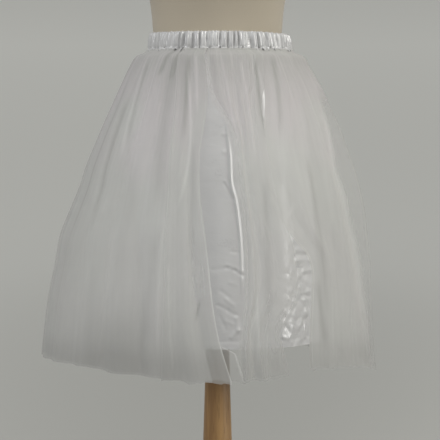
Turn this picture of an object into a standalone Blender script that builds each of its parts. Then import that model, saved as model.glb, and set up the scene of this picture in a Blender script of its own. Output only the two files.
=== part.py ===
# A white tulle skirt on a limbless dress form that stands on a turned wooden pole.
# Metres, +Z up. The front of the skirt faces -Y, and left (-X) and right (+X) are
# those of someone who looks at the front. The origin is the centre of the base's
# underside. Angles are degrees round from the centre front towards +X, and depths
# go down from the waistband's top edge.

import math
from collections import namedtuple

import bmesh
import bpy

# ---------------------------------------------------------------- driving sizes

BAND_TOP = 1.030  # height above the floor that all depths are measured from
BAND_HEIGHT = 0.034  # from there down to the waistband's lower edge
BAND_CLEARANCE = 0.0004  # between the form and the inside of the casing
BAND_LOOSENESS = 0.009  # how far the elastic stands off the form at the right side
BAND_LOW = 0.09  # share of that height by which the band's top edge stays below
BAND_DIP = 0.10  # share by which it dips further at the right side
BAND_RUCHES = 52
RUCHE_HEIGHT = 0.0013
RUCHE_UNEVENNESS = 0.35  # share by which the ruches' height varies round the band
RUCHE_SWELLS = 7  # times it does so

SEAM_GAP = 0.0003
TULLE_WALL = 0.0016  # two plies of net with the air between them
SATIN_WALL = 0.0014
SKIRT_LENGTH = 0.583  # a middling depth of the tulle's hem
HEM_RIPPLE = 0.0025  # how far the hem rises and dips along a panel

UNDERSKIRT_LENGTH = 0.548
UNDERSKIRT_STAND_OFF = 0.0013  # from the form to the middle of the satin's wall, at the band
UNDERSKIRT_EASE = 0.0030  # what that grows by over the hips
UNDERSKIRT_EASE_DEPTH = 0.030  # depth below the band over which it grows
UNDERSKIRT_LOOSE_DEPTH = 0.080  # depth below the band where the band's looseness ends
UNDERSKIRT_FOLDS = 5  # soft upright folds to a panel
UNDERSKIRT_FOLD_PHASE = 0.265  # puts one just right of the centre front
UNDERSKIRT_FOLD_DRIFT = 0.12
UNDERSKIRT_FOLD_DEPTH = 0.0050
UNDERSKIRT_FOLDS_FROM = 0.12  # depth where the folds begin
UNDERSKIRT_FOLDS_FULL = 0.50  # depth where they are full

TULLE_STAND_OFF = 0.0052  # from the form to the middle of the tulle, at the band
TULLE_SPRING = 0.02  # share of the length in which the tulle leaves the form
GATHER_DEPTH_TOP = 0.0010  # of the small gathers, at the band
GATHER_DEPTH = 0.0021  # of the small gathers, just below it
GATHERS_FULL = 0.05  # shares of the length where they are full, fade and are gone
GATHERS_FADE = 0.10
GATHERS_GONE = 0.60
GATHER_DRIFT = 0.011  # share of a panel by which gathers stray from even spacing
WAVE_DEPTH_TOP = 0.0008  # of the broad waves that the gathers run into
WAVE_DEPTH_HEM = 0.0100
WAVE_GROWTH = 0.8
WAVE_PROUD = 0.6  # share of a broad wave that lies inside the outline table
WAVE_UNEVENNESS = 0.25  # share by which the waves' depth varies
WAVE_OFFSET = 0.12  # of a wave, from one panel to the next
EDGE_CALM = 0.10  # share of the waves' depth that is left at a free edge
CALM_RAMP = 6.0  # degrees over which the waves come back
EDGE_REACH = 22.0  # degrees of panel for each power by which its edge's own curve fades
LAYER_STEP_TOP = 0.0030  # how far a panel that overlaps another stands out from it
LAYER_STEP_HEM = 0.0080

UNDERSKIRT_COLUMNS = 24
UNDERSKIRT_ROWS = 8
UNDERSKIRT_ROW_SPREAD = 1.3
COLUMNS_PER_GATHER = 4
TULLE_ROWS = 10
TULLE_ROW_SPREAD = 1.9  # rows crowd towards the band, where the tulle springs out
FORM_SIDES = 36
POLE_SIDES = 20
BASE_SIDES = 40
BASE_RADIUS = 0.190
BASE_HEIGHT = 0.026
BASE_BOSS_TOP = 0.034

# ---------------------------------------------------------------- tables

FormRing = namedtuple("FormRing", "height half_width half_depth forward")
FORM = [  # rings of the dress form, from its underside to its neck
    FormRing(0.770, 0.0000, 0.0000, 0.000),
    FormRing(0.770, 0.1180, 0.0880, 0.000),
    FormRing(0.774, 0.1270, 0.0960, 0.000),
    FormRing(0.786, 0.1345, 0.1015, 0.000),
    FormRing(0.812, 0.1425, 0.1075, 0.000),
    FormRing(0.850, 0.1490, 0.1125, 0.000),  # hips
    FormRing(0.890, 0.1475, 0.1115, 0.000),
    FormRing(0.930, 0.1400, 0.1065, 0.000),
    FormRing(0.965, 0.1275, 0.0995, 0.000),
    FormRing(0.996, 0.1165, 0.0930, 0.000),
    FormRing(1.014, 0.1125, 0.0900, 0.000),  # waist
    FormRing(1.036, 0.1145, 0.0905, 0.000),
    FormRing(1.062, 0.1165, 0.0920, 0.001),
    FormRing(1.092, 0.1210, 0.0950, 0.003),
    FormRing(1.130, 0.1300, 0.1010, 0.007),
    FormRing(1.168, 0.1400, 0.1100, 0.012),
    FormRing(1.205, 0.1470, 0.1170, 0.015),  # bust
    FormRing(1.245, 0.1490, 0.1130, 0.012),
    FormRing(1.290, 0.1510, 0.1010, 0.005),
    FormRing(1.330, 0.1520, 0.0880, -0.003),
    FormRing(1.360, 0.1440, 0.0760, -0.008),
    FormRing(1.388, 0.1100, 0.0630, -0.010),
    FormRing(1.412, 0.0680, 0.0545, -0.008),
    FormRing(1.436, 0.0580, 0.0530, -0.006),
    FormRing(1.478, 0.0560, 0.0520, -0.005),
    FormRing(1.484, 0.0520, 0.0480, -0.005),
    FormRing(1.484, 0.0000, 0.0000, -0.005),
]

Outline = namedtuple("Outline", "depth left right front back")
TULLE = [  # how far the tulle's crests reach at each side
    Outline(0.034, 0.1250, 0.1320, 0.1020, 0.1020),
    Outline(0.045, 0.1410, 0.1500, 0.1160, 0.1180),
    Outline(0.061, 0.1515, 0.1590, 0.1240, 0.1270),
    Outline(0.097, 0.1690, 0.1800, 0.1370, 0.1410),
    Outline(0.136, 0.1870, 0.1990, 0.1510, 0.1560),
    Outline(0.166, 0.2010, 0.2136, 0.1620, 0.1680),
    Outline(0.202, 0.2170, 0.2270, 0.1730, 0.1800),
    Outline(0.237, 0.2314, 0.2400, 0.1840, 0.1910),
    Outline(0.275, 0.2440, 0.2510, 0.1940, 0.2020),
    Outline(0.316, 0.2617, 0.2600, 0.2060, 0.2140),
    Outline(0.358, 0.2790, 0.2650, 0.2190, 0.2270),
    Outline(0.408, 0.2885, 0.2706, 0.2300, 0.2380),
    Outline(0.458, 0.2990, 0.2725, 0.2390, 0.2470),
    Outline(0.508, 0.3060, 0.2750, 0.2460, 0.2530),
    Outline(0.595, 0.3155, 0.2800, 0.2520, 0.2580),
]
UNDERSKIRT = [  # the satin, where it hangs clear of the form
    Outline(0.034, 0.1170, 0.1170, 0.0935, 0.0935),
    Outline(0.080, 0.1360, 0.1360, 0.1040, 0.1040),
    Outline(0.120, 0.1460, 0.1480, 0.1110, 0.1110),
    Outline(0.200, 0.1535, 0.1610, 0.1200, 0.1200),
    Outline(0.260, 0.1500, 0.1650, 0.1230, 0.1220),
    Outline(0.340, 0.1420, 0.1700, 0.1240, 0.1230),
    Outline(0.430, 0.1350, 0.1760, 0.1250, 0.1230),
    Outline(0.548, 0.1310, 0.1810, 0.1260, 0.1240),
]

EdgePoint = namedtuple("EdgePoint", "depth angle")
FOLD_LEFT_EDGE = [EdgePoint(0.034, -28.0), EdgePoint(0.116, -23.4), EdgePoint(0.229, -20.9),
                  EdgePoint(0.297, -19.4), EdgePoint(0.393, -18.0), EdgePoint(0.582, -17.3)]
FOLD_RIGHT_EDGE = [EdgePoint(0.034, -9.0), EdgePoint(0.070, -6.8), EdgePoint(0.105, -5.4),
                   EdgePoint(0.140, -5.6), EdgePoint(0.205, -7.4), EdgePoint(0.250, -7.3),
                   EdgePoint(0.291, -6.3), EdgePoint(0.358, -3.8), EdgePoint(0.458, -1.4),
                   EdgePoint(0.509, 0.3), EdgePoint(0.543, 2.2), EdgePoint(0.585, 4.9)]
LEFT_INNER_EDGE = [EdgePoint(0.034, -20.0), EdgePoint(0.120, -15.0), EdgePoint(0.250, -13.0),
                   EdgePoint(0.400, -9.0), EdgePoint(0.530, -4.3), EdgePoint(0.585, -1.6)]
CENTRE_LEFT_EDGE = [EdgePoint(0.034, -8.5), EdgePoint(0.070, -6.3), EdgePoint(0.105, -4.4),
                    EdgePoint(0.135, -0.8), EdgePoint(0.160, 3.0), EdgePoint(0.182, 5.0),
                    EdgePoint(0.262, 6.0), EdgePoint(0.293, 7.4), EdgePoint(0.353, 8.6),
                    EdgePoint(0.463, 8.5), EdgePoint(0.530, 6.4), EdgePoint(0.585, 6.2)]
CENTRE_RIGHT_EDGE = [EdgePoint(0.034, 32.0), EdgePoint(0.061, 28.7), EdgePoint(0.113, 23.2),
                     EdgePoint(0.152, 21.9), EdgePoint(0.256, 22.7), EdgePoint(0.310, 25.0),
                     EdgePoint(0.360, 28.0), EdgePoint(0.400, 28.6), EdgePoint(0.436, 27.6),
                     EdgePoint(0.470, 24.4), EdgePoint(0.500, 22.8), EdgePoint(0.527, 23.6),
                     EdgePoint(0.585, 26.2)]
RIGHT_INNER_EDGE = [EdgePoint(0.034, 29.0), EdgePoint(0.061, 28.5), EdgePoint(0.113, 26.1),
                    EdgePoint(0.152, 23.4), EdgePoint(0.189, 20.5), EdgePoint(0.255, 20.5),
                    EdgePoint(0.310, 23.5), EdgePoint(0.350, 29.5), EdgePoint(0.380, 34.6),
                    EdgePoint(0.410, 36.1), EdgePoint(0.455, 35.4), EdgePoint(0.520, 34.2),
                    EdgePoint(0.590, 35.0)]


def straight_edge(angle):
    return [EdgePoint(0.0, angle), EdgePoint(1.0, angle)]


Panel = namedtuple("Panel", "name left_edge right_edge gathers left_layer right_layer "
                            "left_calm right_calm wave_share")
PANELS = [  # edges seen from outside, going round towards +X; layer 1 lies over layer 0,
    # and the waves are calm over the degrees where two panels overlap
    Panel("tulle_front_left", straight_edge(-89.8), LEFT_INNER_EDGE, 11, 1, 0, 0.0, 15.0, 1.0),
    Panel("tulle_front_fold", FOLD_LEFT_EDGE, FOLD_RIGHT_EDGE, 3, 1, 1, 0.0, 0.0, 0.35),
    Panel("tulle_front_centre", CENTRE_LEFT_EDGE, CENTRE_RIGHT_EDGE, 6, 1, 1, 0.0, 4.0, 0.7),
    Panel("tulle_front_right", RIGHT_INNER_EDGE, straight_edge(89.8), 9, 0, 1, 5.0, 0.0, 1.0),
    Panel("tulle_back_right", straight_edge(90.2), straight_edge(182.0), 12, 1, 1, 0.0, 4.0, 1.0),
    Panel("tulle_back_left", straight_edge(178.0), straight_edge(269.8), 12, 0, 1, 4.0, 0.0, 1.0),
]

HemPoint = namedtuple("HemPoint", "angle depth")
HEM = [  # the hem rises at the left and either side of the front, and hangs low at the right
    HemPoint(-90.0, 0.573), HemPoint(-66.0, 0.570), HemPoint(-47.0, 0.574),
    HemPoint(-29.0, 0.578), HemPoint(-8.0, 0.587), HemPoint(8.0, 0.587), HemPoint(25.0, 0.581),
    HemPoint(40.0, 0.575), HemPoint(58.0, 0.577), HemPoint(77.0, 0.591), HemPoint(90.0, 0.599),
    HemPoint(125.0, 0.592), HemPoint(160.0, 0.584), HemPoint(200.0, 0.585),
    HemPoint(240.0, 0.577), HemPoint(270.0, 0.573),
]

PoleRing = namedtuple("PoleRing", "height radius")
POLE = [  # turned: slender inside the skirt, swelling towards the base
    PoleRing(BASE_BOSS_TOP + SEAM_GAP, 0.0340),
    PoleRing(0.100, 0.0325),
    PoleRing(0.200, 0.0290),
    PoleRing(0.305, 0.0256),
    PoleRing(0.405, 0.0225),
    PoleRing(0.520, 0.0200),
    PoleRing(0.660, 0.0185),
    PoleRing(FORM[0].height - SEAM_GAP, 0.0180),
]
BASE = [
    PoleRing(0.000, BASE_RADIUS - 0.003),
    PoleRing(0.003, BASE_RADIUS),
    PoleRing(BASE_HEIGHT - 0.010, BASE_RADIUS),
    PoleRing(BASE_HEIGHT - 0.003, BASE_RADIUS - 0.004),
    PoleRing(BASE_HEIGHT, BASE_RADIUS - 0.012),
    PoleRing(BASE_HEIGHT, 0.060),
    PoleRing(BASE_BOSS_TOP - 0.003, 0.056),
    PoleRing(BASE_BOSS_TOP, 0.052),
]

# ---------------------------------------------------------------- shared maths


def smooth_step(share):
    share = max(0.0, min(1.0, share))
    return share * share * (3.0 - 2.0 * share)


def mix(low, high, share):
    return low + (high - low) * share


def read_table(rows, key, column, at):
    """The value of one column at a place in a table, on a smooth curve through its rows."""
    place = [getattr(row, key) for row in rows]
    value = [getattr(row, column) for row in rows]
    if at <= place[0]:
        return value[0]
    if at >= place[-1]:
        return value[-1]
    low = max(i for i in range(len(rows) - 1) if place[i] <= at)
    step = place[low + 1] - place[low]

    def slope(i):
        if i in (0, len(rows) - 1):
            i = min(i, len(rows) - 2)
            return (value[i + 1] - value[i]) / (place[i + 1] - place[i])
        return (value[i + 1] - value[i - 1]) / (place[i + 1] - place[i - 1])

    t = (at - place[low]) / step
    return ((2 * t**3 - 3 * t**2 + 1) * value[low] + (t**3 - 2 * t**2 + t) * step * slope(low)
            + (3 * t**2 - 2 * t**3) * value[low + 1] + (t**3 - t**2) * step * slope(low + 1))


def form_half_sizes(height):
    rings = FORM[1:-1]
    return (read_table(rings, "height", "half_width", height),
            read_table(rings, "height", "half_depth", height))


def oval_point(angle, half_width, half_depth, out, height):
    """A point at an angle round an oval, moved out along the oval's normal."""
    x, y = half_width * math.sin(angle), -half_depth * math.cos(angle)
    normal_x, normal_y = half_depth * math.sin(angle), -half_width * math.cos(angle)
    length = math.hypot(normal_x, normal_y)
    return (x + out * normal_x / length, y + out * normal_y / length, height)


def outline_half_sizes(rows, depth, angle):
    side = "right" if math.sin(angle) > 0 else "left"
    face = "front" if math.cos(angle) > 0 else "back"
    return read_table(rows, "depth", side, depth), read_table(rows, "depth", face, depth)


def looseness(angle):
    return BAND_LOOSENESS * max(0.0, math.sin(angle)) ** 3


def ripple(share, seed):
    """An uneven wave along a panel, within about -1 to 1."""
    return sum(math.sin(2 * math.pi * k * share + seed * (k + 1.7)) / k for k in (2, 3, 5))


def edge_angles(spec, depth):
    return (read_table(spec.left_edge, "depth", "angle", depth),
            read_table(spec.right_edge, "depth", "angle", depth))


def panel_angle(spec, across, depth):
    """Folds run straight down from the band, and bend only near a curved free edge."""
    def usual(edge):
        return sum(point.angle for point in edge) / len(edge)

    left, right = edge_angles(spec, depth)
    span = usual(spec.right_edge) - usual(spec.left_edge)
    power = max(1.0, min(2.5, span / EDGE_REACH))
    return (usual(spec.left_edge) + across * span
            + (left - usual(spec.left_edge)) * (1.0 - across) ** power
            + (right - usual(spec.right_edge)) * across**power)


# ---------------------------------------------------------------- making solids

MERGE_DISTANCE = 0.000002
SHARP_ANGLE = math.radians(40)


def finish(name, shape, colour, roughness):
    """An object of its own, with its own material, from a bmesh."""
    mesh = bpy.data.meshes.new(name)
    shape.to_mesh(mesh)
    shape.free()
    material = bpy.data.materials.new(name)
    material.use_nodes = True
    shader = material.node_tree.nodes["Principled BSDF"]
    shader.inputs["Base Color"].default_value = (*colour, 1.0)
    shader.inputs["Roughness"].default_value = roughness
    shader.inputs["Metallic"].default_value = 0.0
    mesh.materials.append(material)
    mesh.shade_smooth()
    mesh.set_sharp_from_angle(angle=SHARP_ANGLE)
    piece = bpy.data.objects.new(name, mesh)
    bpy.context.scene.collection.objects.link(piece)
    return piece


def mapped_grid(columns, rows, place):
    """A grid whose points go where place(across, down) says; edges that meet are merged."""
    grid = bmesh.new()
    bmesh.ops.create_grid(grid, x_segments=columns, y_segments=rows, size=1.0)
    for point in grid.verts:
        point.co = place((point.co.x + 1.0) / 2.0, (point.co.y + 1.0) / 2.0)
    bmesh.ops.remove_doubles(grid, verts=grid.verts, dist=MERGE_DISTANCE)
    return grid


def closed_solid(name, columns, rows, place, colour, roughness):
    grid = mapped_grid(columns, rows, place)
    bmesh.ops.recalc_face_normals(grid, faces=grid.faces)
    return finish(name, grid, colour, roughness)


def cloth_panel(name, columns, rows, place, wall, colour, roughness):
    panel = finish(name, mapped_grid(columns, rows, place), colour, roughness)
    thickness = panel.modifiers.new("Wall", "SOLIDIFY")
    thickness.thickness = wall
    thickness.offset = 0.0
    return panel


def turned_solid(name, sides, rings, colour, roughness):
    """A round solid on the Z axis, with flat ends, from its rings of height and radius."""
    profile = [PoleRing(rings[0].height, 0.0), *rings, PoleRing(rings[-1].height, 0.0)]

    def place(across, down):
        ring = profile[round(down * (len(profile) - 1))]
        angle = 2 * math.pi * across
        return (ring.radius * math.sin(angle), -ring.radius * math.cos(angle), ring.height)

    return closed_solid(name, sides, len(profile) - 1, place, colour, roughness)


# ---------------------------------------------------------------- the pieces

WHITE_TULLE = (0.72, 0.71, 0.70)
WHITE_SATIN = (0.74, 0.75, 0.78)
FORM_CLOTH = (0.50, 0.44, 0.36)
POLE_WOOD = (0.17, 0.095, 0.042)


def make_form():
    def place(across, down):
        ring = FORM[round(down * (len(FORM) - 1))]
        angle = 2 * math.pi * across
        return (ring.half_width * math.sin(angle),
                -ring.half_depth * math.cos(angle) - ring.forward, ring.height)

    closed_solid("form_torso", FORM_SIDES, len(FORM) - 1, place, FORM_CLOTH, 0.8)


def make_waistband():
    # Rows go round the casing's section: up the ruched outside, over the top edge,
    # down the plain inside next to the form and back under the lower edge.
    Row = namedtuple("Row", "rise thickness ruche")
    outside = [Row(0.000, 0.0064, 1.0), Row(0.005, 0.0050, 0.7), Row(0.020, 0.0046, 1.2),
               Row(BAND_HEIGHT, 0.0026, 0.7)]
    inside = [Row(BAND_HEIGHT, 0.0, 0.0), Row(0.0, 0.0, 0.0)]
    section = [*outside, *inside, outside[0]]
    bottom = BAND_TOP - BAND_HEIGHT
    lower = form_half_sizes(bottom)
    upper = form_half_sizes(BAND_TOP)

    def place(across, down):
        row = section[round(down * (len(section) - 1))]
        angle = 2 * math.pi * across
        rise = row.rise / BAND_HEIGHT
        half_width = mix(lower[0], upper[0], rise)
        half_depth = mix(lower[1], upper[1], rise)
        swell = 1.0 + RUCHE_UNEVENNESS * math.sin(RUCHE_SWELLS * angle)
        ruche = RUCHE_HEIGHT * row.ruche * swell * math.cos(2 * math.pi * BAND_RUCHES * across)
        out = BAND_CLEARANCE + looseness(angle) + row.thickness + ruche
        dip = BAND_LOW + BAND_DIP * max(0.0, math.sin(angle)) ** 4
        return oval_point(angle, half_width, half_depth, out, bottom + row.rise * (1.0 - dip))

    closed_solid("waistband", BAND_RUCHES * COLUMNS_PER_GATHER, len(section) - 1, place,
                 WHITE_SATIN, 0.25)


def make_underskirt():
    top = BAND_HEIGHT + SEAM_GAP + SATIN_WALL / 2

    def half_sizes(depth, angle):
        half_width, half_depth = outline_half_sizes(UNDERSKIRT, depth, angle)
        if depth > BAND_TOP - FORM[1].height:
            return half_width, half_depth
        form_width, form_depth = form_half_sizes(BAND_TOP - depth)
        ease = smooth_step((depth - top) / UNDERSKIRT_EASE_DEPTH)
        stand_off = UNDERSKIRT_STAND_OFF + UNDERSKIRT_EASE * ease
        return max(half_width, form_width + stand_off), max(half_depth, form_depth + stand_off)

    def panel(name, first, last):
        def place(across, down):
            depth = mix(top, UNDERSKIRT_LENGTH, down**UNDERSKIRT_ROW_SPREAD)
            half_width, half_depth = half_sizes(depth, math.radians(mix(first, last, across)))
            inset = math.degrees(SEAM_GAP / 2 / half_depth)
            angle = math.radians(mix(first + inset, last - inset, across))
            grown = smooth_step((depth - UNDERSKIRT_FOLDS_FROM)
                                / (UNDERSKIRT_FOLDS_FULL - UNDERSKIRT_FOLDS_FROM))
            turn = UNDERSKIRT_FOLDS * across + UNDERSKIRT_FOLD_PHASE + UNDERSKIRT_FOLD_DRIFT * down
            fold = UNDERSKIRT_FOLD_DEPTH * grown * (1.0 + math.cos(2 * math.pi * turn)) / 2
            loose = looseness(angle) * (1.0 - smooth_step((depth - top) / UNDERSKIRT_LOOSE_DEPTH))
            return oval_point(angle, half_width, half_depth, fold + loose, BAND_TOP - depth)

        cloth_panel(name, UNDERSKIRT_COLUMNS, UNDERSKIRT_ROWS, place, SATIN_WALL, WHITE_SATIN, 0.3)

    panel("underskirt_front", -90.0, 90.0)
    panel("underskirt_back", 90.0, 270.0)


def make_tulle_panel(spec, seed):
    top = BAND_HEIGHT + SEAM_GAP + TULLE_WALL / 2
    broad_waves = max(1, round(spec.gathers / 2))
    band_width, band_depth = form_half_sizes(BAND_TOP - top)

    def calmness(across, depth):
        """The share of the waves that is left: little beside a free edge."""
        left, right = edge_angles(spec, depth)
        from_left = across * (right - left) - spec.left_calm
        from_right = (1.0 - across) * (right - left) - spec.right_calm
        return mix(EDGE_CALM, spec.wave_share, smooth_step(min(from_left, from_right) / CALM_RAMP))

    def place(across, down):
        run = down**TULLE_ROW_SPREAD
        hem = read_table(HEM, "angle", "depth", panel_angle(spec, across, SKIRT_LENGTH))
        hem += HEM_RIPPLE * ripple(across, seed + 3)
        depth = mix(top, hem, run)
        stray = GATHER_DRIFT * ripple(across, seed) * math.sin(math.pi * across)
        angle = math.radians(panel_angle(spec, across + stray, depth))

        small = mix(GATHER_DEPTH_TOP, GATHER_DEPTH, smooth_step(run / GATHERS_FULL))
        small *= 1.0 - smooth_step((run - GATHERS_FADE) / (GATHERS_GONE - GATHERS_FADE))
        broad = mix(WAVE_DEPTH_TOP, WAVE_DEPTH_HEM, run**WAVE_GROWTH)
        varied = 1.0 + WAVE_UNEVENNESS * ripple(across, seed + 6)
        wave = calmness(across, depth) * varied * (
            small * math.cos(2 * math.pi * spec.gathers * across)
            + broad * math.cos(2 * math.pi * (broad_waves * across + WAVE_OFFSET * seed)))

        sprung = smooth_step(run / TULLE_SPRING)  # at the band the tulle follows the form
        lower_share = smooth_step(1.5 * run)
        step = mix(LAYER_STEP_TOP, LAYER_STEP_HEM, max(0.5 * sprung, lower_share))
        layer = mix(spec.left_layer, spec.right_layer, smooth_step(across))

        half_width, half_depth = outline_half_sizes(TULLE, depth, angle)
        inside = small + WAVE_PROUD * broad + step * lower_share
        half_width = mix(band_width + TULLE_STAND_OFF, half_width - inside, sprung)
        half_depth = mix(band_depth + TULLE_STAND_OFF, half_depth - inside, sprung)
        out = wave + layer * step + looseness(angle) * (1.0 - sprung)
        return oval_point(angle, half_width, half_depth, out, BAND_TOP - depth)

    cloth_panel(spec.name, spec.gathers * COLUMNS_PER_GATHER, TULLE_ROWS, place, TULLE_WALL,
                WHITE_TULLE, 0.7)


def main():
    for old in list(bpy.data.objects):
        bpy.data.objects.remove(old)
    turned_solid("stand_base", BASE_SIDES, BASE, POLE_WOOD, 0.45)
    turned_solid("stand_pole", POLE_SIDES, POLE, POLE_WOOD, 0.45)
    make_form()
    make_waistband()
    make_underskirt()
    for seed, spec in enumerate(PANELS):
        make_tulle_panel(spec, seed)


main()
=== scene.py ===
# The looks of a white tulle skirt on a limbless dress form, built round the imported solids.
# Angles are degrees round from the centre front towards +X, and depths are metres down from a
# height just above the waistband's top edge. Left and right are those of someone who looks at
# the front.

import math

import bmesh
import bpy
import numpy as np
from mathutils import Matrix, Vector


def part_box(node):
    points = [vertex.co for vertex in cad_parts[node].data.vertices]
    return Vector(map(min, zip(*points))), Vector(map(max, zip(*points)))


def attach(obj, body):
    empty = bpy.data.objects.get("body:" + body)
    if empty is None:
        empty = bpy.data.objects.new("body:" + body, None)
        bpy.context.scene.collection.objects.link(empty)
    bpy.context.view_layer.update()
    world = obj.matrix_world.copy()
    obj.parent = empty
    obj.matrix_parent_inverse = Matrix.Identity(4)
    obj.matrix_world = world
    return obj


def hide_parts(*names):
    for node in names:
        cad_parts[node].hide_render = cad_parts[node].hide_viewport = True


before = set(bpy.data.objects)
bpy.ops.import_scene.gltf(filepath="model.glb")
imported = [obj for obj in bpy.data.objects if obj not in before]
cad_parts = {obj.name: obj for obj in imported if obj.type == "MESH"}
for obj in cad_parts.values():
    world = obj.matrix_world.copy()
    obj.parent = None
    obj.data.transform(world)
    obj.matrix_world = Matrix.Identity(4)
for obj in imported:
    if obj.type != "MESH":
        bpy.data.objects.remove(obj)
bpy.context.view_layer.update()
bandHeight = 0.034  # from the height that depths are measured from to the band's lower edge
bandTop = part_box("waistband")[0].z + bandHeight
print("frame loaded:", len(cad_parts), "nodes")


# rows hold millimetres, apart from angles and shares
def table(columns, *rows):
    columns = columns.split()
    plain = [column.lower().endswith("angle") or column in ("dense", "tone", "ruche")
             for column in columns]
    return dict(zip(columns, np.array(rows, float).T / np.where(plain, 1, 1000)[:, None]))


def edge(*rows):
    return table("depth angle", *rows)


def straightEdge(angle):
    return edge((0, angle), (1000, angle))


def creases(*rows):
    return table("fromAngle fromDepth toAngle toDepth width height", *rows)


def folds(*rows):
    # the last column is painted shade along the fold where it is above nothing, and painted
    # highlight where it is below nothing
    return table("fromDepth toDepth fromAngle midAngle toAngle width height dense tone", *rows)


# where the cloth and the form reach, the same as in the solids
formRings = table(
    "height halfWidth halfDepth forward",
    (770, 0, 0, 0), (770, 118, 88, 0), (774, 127, 96, 0), (786, 134.5, 101.5, 0),
    (812, 142.5, 107.5, 0),
    (850, 149, 112.5, 0),  # hips
    (890, 147.5, 111.5, 0), (930, 140, 106.5, 0), (965, 127.5, 99.5, 0), (996, 116.5, 93, 0),
    (1014, 112.5, 90, 0),  # waist
    (1036, 114.5, 90.5, 0), (1062, 116.5, 92, 1), (1092, 121, 95, 3), (1130, 130, 101, 7),
    (1168, 140, 110, 12),
    (1205, 147, 117, 15),  # bust
    (1245, 149, 113, 12), (1290, 151, 101, 5), (1330, 152, 88, -3), (1360, 144, 76, -8),
    (1388, 110, 63, -10), (1412, 68, 54.5, -8), (1436, 58, 53, -6), (1478, 56, 52, -5),
    (1484, 52, 48, -5), (1484, 0, 0, -5))
tulleReach = table(
    "depth left right front back",
    (34, 125, 132, 102, 102), (45, 141, 150, 116, 118), (61, 151.5, 159, 124, 127),
    (97, 169, 180, 137, 141), (136, 187, 199, 151, 156), (166, 201, 213.6, 162, 168),
    (202, 217, 227, 173, 180), (237, 231.4, 240, 184, 191), (275, 244, 251, 194, 202),
    (316, 261.7, 260, 206, 214), (358, 279, 265, 219, 227), (408, 288.5, 270.6, 230, 238),
    (458, 299, 272.5, 239, 247), (508, 306, 275, 246, 253), (595, 315.5, 280, 252, 258))
hemLine = table(  # it rises at the left and either side of the front, and hangs low at the right
    "angle depth",
    (-90, 573), (-66, 570), (-47, 574), (-29, 578), (-8, 587), (8, 587), (25, 581), (40, 575),
    (58, 577), (77, 591), (90, 599), (125, 592), (160, 584), (200, 585), (240, 577), (270, 573))
satinReach = table(
    "depth left right front back",
    (34, 117, 117, 93.5, 93.5), (80, 136, 136, 104, 104), (120, 146, 148, 111, 111),
    (200, 153.5, 161, 120, 120), (260, 150, 165, 123, 122), (340, 142, 170, 124, 123),
    (430, 135, 176, 125, 123), (548, 131, 181, 126, 124))


# maths on arrays that the pieces share
def smoothStep(share):
    share = np.clip(share, 0.0, 1.0)
    return share * share * (3.0 - 2.0 * share)


def mix(low, high, share):
    return low + (high - low) * share


def below(depth, start, reach):
    # grows from nothing at a depth to one, over a reach further down
    return smoothStep((depth - start) / reach)


def peak(apart, width):
    return np.exp(-((apart / width) ** 2))


def softMaximum(first, second, blend):
    return (first + second + np.sqrt((first - second) ** 2 + blend**2)) / 2


def readCurve(place, value, at):
    # a smooth curve through the values, like the one that the solids are read from
    slope = np.empty_like(value)
    slope[1:-1] = (value[2:] - value[:-2]) / (place[2:] - place[:-2])
    slope[0] = (value[1] - value[0]) / (place[1] - place[0])
    slope[-1] = (value[-1] - value[-2]) / (place[-1] - place[-2])
    at = np.clip(at, place[0], place[-1])
    low = np.clip(np.searchsorted(place, at, side="right") - 1, 0, len(place) - 2)
    step = place[low + 1] - place[low]
    t = (at - place[low]) / step
    return ((2 * t**3 - 3 * t**2 + 1) * value[low] + (t**3 - 2 * t**2 + t) * step * slope[low]
            + (3 * t**2 - 2 * t**3) * value[low + 1] + (t**3 - t**2) * step * slope[low + 1])


def readTable(rows, key, column, at):
    return readCurve(rows[key], rows[column], at)


def readRows(rows, share):
    # every column's value that share of the way through the rows
    places = np.arange(len(next(iter(rows.values()))), dtype=float)
    return [readCurve(places, values, share * places[-1]) for values in rows.values()]


def formHalfSizes(height):
    rings = {column: values[1:-1] for column, values in formRings.items()}
    return [readTable(rings, "height", column, height) for column in ("halfWidth", "halfDepth")]


def reachHalfSizes(rows, depth, angle):
    left, right, front, back = (readTable(rows, "depth", side, depth)
                                for side in ("left", "right", "front", "back"))
    return np.where(np.sin(angle) > 0, right, left), np.where(np.cos(angle) > 0, front, back)


def ovalNormal(angle, halfWidth, halfDepth):
    normal = np.stack([halfDepth * np.sin(angle), -halfWidth * np.cos(angle)], axis=1)
    return normal / np.linalg.norm(normal, axis=1, keepdims=True)


def ovalPoints(angle, halfWidth, halfDepth, out, height):
    # points at angles round an oval, moved out along its normal
    flatPoints = np.stack([halfWidth * np.sin(angle), -halfDepth * np.cos(angle)], axis=1)
    flatPoints += out[:, None] * ovalNormal(angle, halfWidth, halfDepth)
    return np.column_stack([flatPoints, height])


def metresPerDegree(angle, halfWidth, halfDepth):
    return np.hypot(halfWidth * np.cos(angle), halfDepth * np.sin(angle)) * math.pi / 180


def looseness(angle):
    return band["slack"] * np.maximum(0.0, np.sin(angle)) ** 3


def ripple(share, seed, counts=(2, 3, 5)):
    # an uneven wave: about one either way as it stands, and up to two with finer counts
    strength = 1.0 if counts[0] == 2 else counts[0]
    return strength * sum(np.sin(2 * np.pi * k * share + seed * (k + 1.7)) / k for k in counts)


def eachRow(rows):
    for i in range(len(rows["width"])):
        yield {column: values[i] for column, values in rows.items()}


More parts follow.
